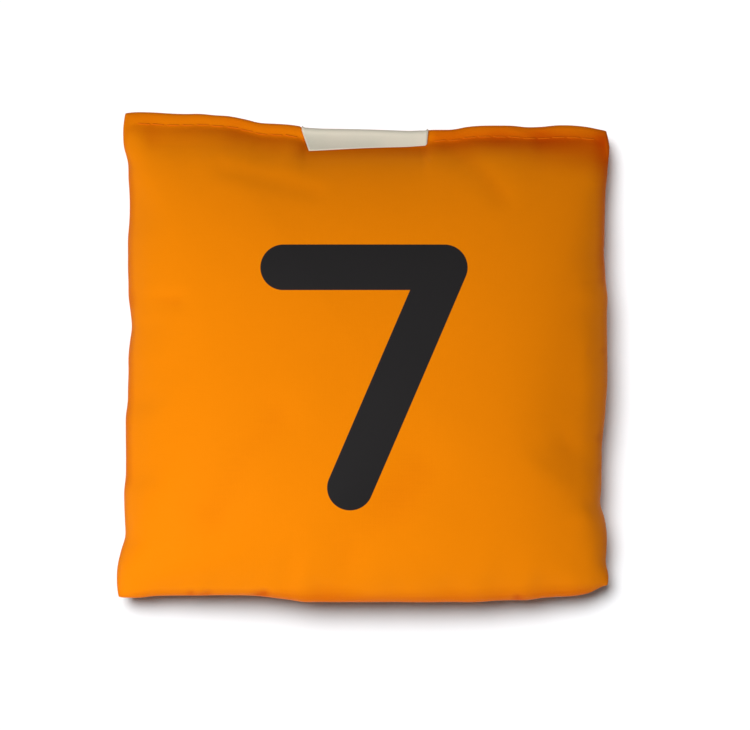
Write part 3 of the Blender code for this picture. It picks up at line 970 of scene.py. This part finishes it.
def add_stitches(name, points, stitches, up, material):
    """Stitches along points, which end half a stitch short of both ends of the row."""
    if up < 0:
        points = points * (1, 1, -1)
    edges = [(i, i + 1) for i in range(len(points) - 1)]
    item = add_mesh(name, points, edges=edges)
    length = row_length(points) / (stitches - 1)
    values = {"Stitches": stitches, "Stitch length": float(length), "Material": material}
    values |= {"Thread radius": THREAD_RADIUS, "Depth": DIVE, "Seed": TILT_SEED}
    item = grow(item, stitch_nodes, values)
    if up < 0:
        item.data.transform(Matrix.Diagonal((1, 1, -1, 1)))
        item.data.flip_normals()
    item.data.shade_smooth()
    print(name, stitches, "stitches of", round(length / MM, 2), "mm")
    return item


def closing_row(surface, up):
    """Middle line of the topstitching, on the front or the back."""
    share = np.linspace(0.5 / TOPSTITCHES, 1 - 0.5 / TOPSTITCHES, 4 * TOPSTITCHES)
    u = (2 * share - 1) * TOPSTITCH_END
    points = surface(u, np.full(len(u), reach(TOPSTITCH_INSET)))
    return points + (0, 0, up * (CLOTH / 2 + CLOSING_PROUD))


def turned_row(up):
    """The hidden line of the turned seam, down the left side and round to the right."""
    line = reach(TURNED_INSET)
    down = np.linspace(reach(TURNED_START), -line, PATH_POINTS)
    across = np.linspace(-line, line, PATH_POINTS)
    side = np.full(PATH_POINTS, line)
    u = np.concatenate([-side, across[1:], side[1:]])
    v = np.concatenate([down, -side[1:], down[::-1][1:]])
    return seam_surface(u, v, up * (ALLOWANCE_LIFT + CLOTH / 2 + TURNED_PROUD))


print("turned seam", round(row_length(turned_row(1)) / MM), "mm long")

# %% [markdown]
# Satin is woven so that most of each warp yarn floats on the face. Up close it is
# rows of long thin bricks, each row shifted, and from further off it has a soft
# sheen. Shade is painted into its colour, which is made deeper in the creases, dips
# and folded edges, as if cloth lit cloth there. The ink is a film on the yarns:
# dull, nearly black and a hair thick. It is drawn from the distance to two strokes,
# so its edge is clean at any size.

# %% Materials
MATERIALS = {}


def new_material(name, **constants):
    """A material's tree, with what is the same all over set on its shader."""
    material = bpy.data.materials.new(name)
    material.use_nodes = True
    shader = material.node_tree.nodes["Principled BSDF"]
    for socket, value in constants.items():
        shader.inputs[socket.replace("_", " ")].default_value = value
    MATERIALS[name] = material
    return Tree(material.node_tree), shader


def feed(tree, shader, **wires):
    for socket, wire in wires.items():
        tree.nodes.links.new(wire.socket, shader.inputs[socket.replace("_", " ")])


def noise(tree, vector, scale, detail=2.0):
    sockets = {"Vector": vector, "Scale": scale, "Detail": detail}
    return tree.node("ShaderNodeTexNoise", sockets, "Fac")


def mix(tree, factor, low, high):
    sockets = {"Factor": factor, "A": low, "B": high}
    return tree.node("ShaderNodeMix", sockets, "Result", data_type="RGBA")


def bump(tree, height, distance):
    return tree.node("ShaderNodeBump", {"Height": height, "Distance": distance})


def on_object(tree):
    """Places on the object, in metres."""
    return tree.node("ShaderNodeTexCoord", output="Object")


def on_cloth(tree, size):
    """Places on the flat cloth in millimetres. Its map is a square of this size."""
    uv = tree.node("ShaderNodeUVMap", uv_map="cloth")
    sockets = {"Vector": uv, "Scale": size / MM}
    return tree.node("ShaderNodeVectorMath", sockets, operation="SCALE")


# %% The print
PRINT_MIDDLE = (2.32 * MM, -1.61 * MM)
PRINT_SCALE = 0.1964 * MM
STROKES = [((-92, 98), (70, 98)), ((70, 98), (-25, -123))]
STROKE_HALF = 23 * PRINT_SCALE
INK_EDGE, INK_LOWEST = 0.10 * MM, 15 * MM


def stroke_distance(x, y, stroke):
    ends = [[m + c * PRINT_SCALE for m, c in zip(PRINT_MIDDLE, end)] for end in stroke]
    (ax, ay), (bx, by) = ends
    dx, dy = bx - ax, by - ay
    off_x, off_y = x - ax, y - ay
    along = ((off_x * dx + off_y * dy) / (dx * dx + dy * dy)).clamped()
    return ((off_x - along * dx) ** 2.0 + (off_y - along * dy) ** 2.0).math("SQRT")


def ink_mask(tree):
    """1 where the front is printed."""
    x, y, z = tree.parts(on_object(tree))
    near = [stroke_distance(x, y, stroke) for stroke in STROKES]
    inside = ((STROKE_HALF - near[0].least(near[1])) / INK_EDGE + 0.5).clamped()
    return inside * z.math("GREATER_THAN", INK_LOWEST)


print(len(STROKES), "strokes,", round(2 * STROKE_HALF / MM, 1), "mm wide")

# %% Satin
# DEEP_ORANGE is the colour of the painted shade, and of the random deeper patches
ORANGE, DEEP_ORANGE = (0.88, 0.235, 0.0015, 1), (0.56, 0.060, 0.0005, 1)
SHEEN_TINT, SATIN_TINT = (1, 0.40, 0.06, 1), (1, 0.60, 0.20, 1)
INK = (0.0100, 0.0090, 0.0094, 1)
FLOATS = {"Brick Width": 1.1, "Row Height": 0.17, "Mortar Size": 0.03, "Mortar Smooth": 1.0}
FLOAT_SHIFT, SLUB_STRETCH = 0.4, (0.15, 3.0, 1.0)
YARN_RELIEF = 0.02 * MM
BLOTCHES = 45.0  # to the metre


def satin(name, printed):
    tree, shader = new_material(
        name,
        Sheen_Weight=0.08,
        Sheen_Roughness=0.4,
        Sheen_Tint=SHEEN_TINT,
        Specular_IOR_Level=0.03,
        Specular_Tint=SATIN_TINT,
    )
    flat = on_cloth(tree, CUT)
    bricks = FLOATS | {"Vector": flat, "Scale": 1.0}
    floats = tree.node("ShaderNodeTexBrick", bricks, "Fac", offset=FLOAT_SHIFT)
    sockets = {0: flat, 1: SLUB_STRETCH}
    drawn_out = tree.node("ShaderNodeVectorMath", sockets, operation="MULTIPLY")
    slubs = noise(tree, drawn_out, 1.0)
    blotches = noise(tree, on_object(tree), BLOTCHES)
    # the hollow attribute is painted shade, from the creases, dips and folded edges
    hollow = tree.node("ShaderNodeAttribute", output="Fac", attribute_name="hollow")
    # painted shade plus random colour variation from blotches, slubs and floats
    shade_and_tone = hollow * 0.90 + blotches * 0.16 + slubs * 0.10 + floats * 0.10 - 0.16
    colour = mix(tree, shade_and_tone.clamped(), ORANGE, DEEP_ORANGE)
    roughness = 0.38 + blotches * 0.10
    height = slubs * 0.6 - floats
    relief = bump(tree, height, YARN_RELIEF)
    feed(tree, shader, Base_Color=colour, Roughness=roughness, Normal=relief)
    if printed:
        ink = ink_mask(tree)
        sockets = {"Base Color": INK, "Specular IOR Level": 0.08}
        sockets["Roughness"] = 0.50 + blotches * 0.1
        sockets["Normal"] = bump(tree, ink * 2.0 + height * 0.3, YARN_RELIEF)
        film = tree.node("ShaderNodeBsdfPrincipled", sockets)
        layers = {0: ink, 1: Wire(tree, shader.outputs[0]), 2: film}
        both = tree.node("ShaderNodeMixShader", layers)
        feed(tree, tree.nodes.nodes["Material Output"], Surface=both)


satin("front_satin", True)
satin("back_satin", False)
print("floats of", FLOATS["Brick Width"], "by", FLOATS["Row Height"], "mm")

# %% [markdown]
# Thread, tape and pellets are plainer. The thread is dyed to match. The tape has
# fine ribs across it and is bare. The pellets are cut from a strand and tumbled.

# %% Thread, tape and pellets
THREAD_COLOURS = (0.80, 0.190, 0.002, 1), (0.66, 0.130, 0.0015, 1)
TAPE_COLOURS = (0.72, 0.655, 0.535, 1), (0.65, 0.625, 0.505, 1)
PELLET_COLOURS = (0.80, 0.80, 0.78, 1), (0.68, 0.68, 0.65, 1)
FIBRES, SCUFFS = 9000.0, 1500.0  # to the metre


def waves(tree, vector, scale, direction, distortion=0.0):
    sockets = {"Vector": vector, "Scale": scale, "Distortion": distortion}
    return tree.node("ShaderNodeTexWave", sockets, "Fac", bands_direction=direction)


def finish(tree, shader, shade, colours, roughness, height, relief):
    """Feed a shader its colours, mixed by shade, its roughness and its relief."""
    colour = mix(tree, shade, *colours)
    normal = bump(tree, height, relief * MM)
    feed(tree, shader, Base_Color=colour, Roughness=roughness, Normal=normal)


tree, shader = new_material(
    "orange_thread", Sheen_Weight=0.1, Specular_IOR_Level=0.06, Sheen_Tint=SHEEN_TINT
)
fibres = noise(tree, on_object(tree), FIBRES, 1.0)
finish(tree, shader, fibres, THREAD_COLOURS, 0.45 + fibres * 0.2, fibres, 0.02)

tree, shader = new_material("white_tape", Sheen_Weight=0.15, Specular_IOR_Level=0.35)
flat = on_cloth(tree, LABEL_WIDTH)
ribs = waves(tree, flat, 1.6, "Y", 0.6)
yarns = waves(tree, flat, 2.2, "X")
greyed = noise(tree, flat, 0.16)
shade = (greyed * 1.6 - 0.4 + ribs * 0.08).clamped()
weave = ribs * 0.6 + yarns * 0.4
finish(tree, shader, shade, TAPE_COLOURS, 0.46 + greyed * 0.12, weave, 0.012)

tree, shader = new_material("pellets", Specular_IOR_Level=0.4)
scuffs = noise(tree, on_object(tree), SCUFFS)
finish(tree, shader, scuffs, PELLET_COLOURS, 0.35 + scuffs * 0.2, scuffs, 0.05)

for piece, cloth in ((front, "front_satin"), (back, "back_satin"), (label, "white_tape")):
    piece.data.materials.append(MATERIALS[cloth])
print("materials", sorted(MATERIALS))

# %% Sew the seams
thread = MATERIALS["orange_thread"]
seams = {}
for layer, surface, up in (("needle", front_surface, 1), ("bobbin", back_surface, -1)):
    rows = {
        f"closing_seam_{layer}": (closing_row(surface, up), TOPSTITCHES),
        f"turned_seam_{layer}": (turned_row(up), TURNED_STITCHES),
    }
    for name, (row, stitches) in rows.items():
        seams[name] = add_stitches(name, row, stitches, up, thread)

# %% [markdown]
# The filling is thousands of small plastic pellets. They are packed like stacked
# balls, nudged at random, and kept only where the cloth leaves room for them. A
# tree then sets a tumbled grain at every point.

# %% Fill the bag
PELLET_RADIUS, PELLET_SPACING, NUDGE = 1.4 * MM, 3.15 * MM, 0.12 * MM
PELLET_MARGIN = PELLET_RADIUS + CLOTH / 2 + 0.35 * MM
GRAIN_SHAPE, GRAIN_SIZES = (1.0, 1.0, 0.78), {"Min": 0.86, "Max": 1.04}
GRAIN = {"Segments": 6, "Rings": 4}
NUDGE_SEED, HEAP_SEED, CORRECTIONS = 7, 11, 15


def address_of(points):
    """The (u, v) of places inside the outline, found by a few corrections."""
    guess = points / HALF
    for _ in range(CORRECTIONS):
        guess = np.clip(guess + (points - place(guess[:, 0], guess[:, 1])) / HALF, -1, 1)
    return guess[:, 0], guess[:, 1]


def pellet_points():
    step = PELLET_SPACING / math.sqrt(2)
    count = int(HALF / step) + 1
    lines = np.arange(-count, count + 1)
    levels = np.arange(0, int(THICKNESS / step) + 1)
    i, j, k = (axis.ravel() for axis in np.meshgrid(lines, lines, levels, indexing="ij"))
    packed = np.column_stack([i, j, k])[(i + j + k) % 2 == 0] * step
    packed += np.random.default_rng(NUDGE_SEED).uniform(-1, 1, packed.shape) * NUDGE
    u, v = address_of(packed[:, :2])
    inside = outness(u, v) < reach(ALLOWANCE + PELLET_MARGIN)
    packed, u, v = packed[inside], u[inside], v[inside]
    low = back_surface(u, v)[:, 2] + PELLET_MARGIN
    high = front_surface(u, v)[:, 2] - PELLET_MARGIN
    return packed[(packed[:, 2] > low) & (packed[:, 2] < high)]


def pellet_tree():
    kinds = {"Points": "Geometry", "Radius": "Float", "Seed": "Int", "Material": "Material"}
    tree, given = new_tree("heap_of_pellets", kinds)
    ball = tree.node("GeometryNodeMeshUVSphere", GRAIN | {"Radius": given["Radius"]})
    grain = tree.node("GeometryNodeTransform", {"Geometry": ball, "Scale": GRAIN_SHAPE})
    any_way = {"Min": (0.0,) * 3, "Max": (math.tau,) * 3, "Seed": given["Seed"]}
    turn = tree.node("FunctionNodeRandomValue", any_way, data_type="FLOAT_VECTOR")
    size = tree.node("FunctionNodeRandomValue", GRAIN_SIZES | {"Seed": given["Seed"] + 1})
    sockets = {"Points": given["Points"], "Instance": grain, "Rotation": turn, "Scale": size}
    heaped = tree.node("GeometryNodeInstanceOnPoints", sockets)
    return finish_tree(tree, heaped, given["Material"])


heap = pellet_points()
pellets = add_mesh("pellets", heap)
values = {"Radius": PELLET_RADIUS, "Seed": HEAP_SEED, "Material": MATERIALS["pellets"]}
pellets = grow(pellets, pellet_tree(), values)
pellets.data.shade_smooth()
print(len(heap), "pellets")

# %% [markdown]
# The camera hangs straight above the bag and looks through a long lens, so the
# bag's sides don't show.

# %% Camera
PHOTO_PIXELS, MM_PER_PIXEL = 750, 0.2016
FRAME_ACROSS = PHOTO_PIXELS * MM_PER_PIXEL * MM
LENS, SENSOR = 135, 36
camera_data = bpy.data.cameras.new("camera")
camera_data.lens = LENS
camera_data.sensor_width = SENSOR
camera_data.clip_start = 0.01
camera = bpy.data.objects.new("camera", camera_data)
camera.location = (*PRINT_MIDDLE, SEAM_MIDDLE + FRAME_ACROSS * LENS / SENSOR)
bpy.context.collection.objects.link(camera)
bpy.context.scene.camera = camera
print("camera at", round(camera.location.z, 3), "m")

# %% [markdown]
# A product photograph on white often has one light for the object and another for
# its background. Light linking does the same: a low soft lamp from the lower left
# shapes the bag, a wide one above fills it, and a soft sun lights only the floor
# and gives the shadow on the right and below.

# %% Floor and lights
FLOOR_HALF = 3.0
FLOOR_COLOURS = (0.55, 0.55, 0.55, 1), (0.93, 0.95, 0.97, 1)
WORLD_LIGHT = 0.09
pieces = [front, back, label, pellets, *seams.values()]


def group_of(name, items):
    group = bpy.data.collections.new(name)
    for item in items:
        group.objects.link(item)
    return group


def add_lamp(name, kind, direction, group, **settings):
    data = bpy.data.lights.new(name, kind)
    for setting, value in settings.items():
        setattr(data, setting, value)
    lamp = bpy.data.objects.new(name, data)
    lamp.location = Vector(direction)
    lamp.rotation_euler = Vector(direction).to_track_quat("Z", "Y").to_euler()
    lamp.light_linking.receiver_collection = group
    bpy.context.collection.objects.link(lamp)


def seen(tree):
    """1 where the camera or a reflection looks, and 0 for the light that bounces."""
    kinds = ("Is Camera Ray", "Is Glossy Ray", "Is Transmission Ray")
    rays = [tree.node("ShaderNodeLightPath", output=kind) for kind in kinds]
    return (rays[0] + rays[1] + rays[2]).clamped()


corners = np.array([(-1, -1, 0), (1, -1, 0), (1, 1, 0), (-1, 1, 0)], float) * FLOOR_HALF
floor = add_mesh("floor", corners, [(0, 1, 2, 3)])
tree, shader = new_material("white_floor", Roughness=0.9)
floor.data.materials.append(MATERIALS["white_floor"])
feed(tree, shader, Base_Color=mix(tree, seen(tree), *FLOOR_COLOURS))

bag_light, floor_light = group_of("bag_light", pieces), group_of("floor_light", [floor])
add_lamp("key", "AREA", (-0.23, -0.20, 0.33), bag_light, size=0.28, energy=1.60)
add_lamp("top", "AREA", (0.04, 0.09, 0.9), bag_light, size=0.8, energy=4.0)
add_lamp("floor_sun", "SUN", (-0.28, 0.40, 1.0), floor_light, energy=3.58, angle=0.54)

world = bpy.data.worlds.new("studio")
bpy.context.scene.world = world
world.use_nodes = True
tree = Tree(world.node_tree)
background = world.node_tree.nodes["Background"]
background.inputs["Color"].default_value = (1, 1, 1, 1)
feed(tree, background, Strength=WORLD_LIGHT + seen(tree) * (1 - WORLD_LIGHT))
bpy.context.scene.view_settings.view_transform = "Standard"

# %% [markdown]
# Last, each piece but the label is tied to the bag's body, and the parts of the model
# that each piece stands for are hidden. The label's place is written into its mesh.

# %% Tie the pieces to the bag and hide their parts
# the slot of each piece, then the nodes that it stands for
stands_for = {
    front: ("cover_cloth", "front_panel"),
    back: ("cover_cloth", "back_panel"),
    pellets: ("pellets", "filling"),
    label: ("label_tape", "label_caught_end", "label_tab"),
    **{piece: ("seam_thread", f"{name}_thread") for name, piece in seams.items()},
}
for piece, (slot, *nodes) in stands_for.items():
    if piece is label:
        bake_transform(piece)
    else:
        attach(piece, "bag")
    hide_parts(*nodes)
